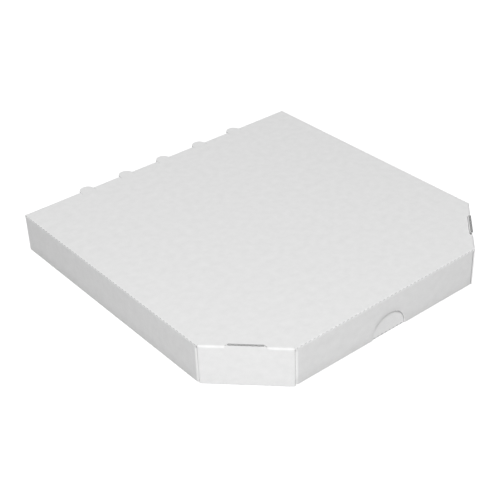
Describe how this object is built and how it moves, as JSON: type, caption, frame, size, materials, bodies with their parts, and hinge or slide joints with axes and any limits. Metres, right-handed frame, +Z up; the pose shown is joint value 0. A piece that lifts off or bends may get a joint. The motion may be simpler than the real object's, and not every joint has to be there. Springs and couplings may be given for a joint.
{
  "type": "pizza box",
  "caption": "White corrugated pizza box with clipped, locked front corners, a hinged lid that closes over the tray, a half-moon thumb notch and half-round vent tabs at the hinge.",
  "frame": {"origin": "on the table, under the middle of the box between its side flaps and between its front flap and rear wall", "axes": "+Z up, -Y towards the front flap with the thumb notch, +Y towards the hinge, +X to the right seen from the front"},
  "size_m": [0.33, 0.3367, 0.0414],
  "materials": {
    "card": "matte white paper liner on corrugated board"
  },
  "bodies": {
    "tray": {"tray": "card"},
    "lid": {"lid": "card"}
  },
  "joints": [
    {"name": "lid_hinge", "type": "hinge", "parent": "tray", "child": "lid", "pos_m": [0, 0.16425, 0.03925], "axis": [-1, 0, 0], "range_deg": [0, 178]}
  ]
}
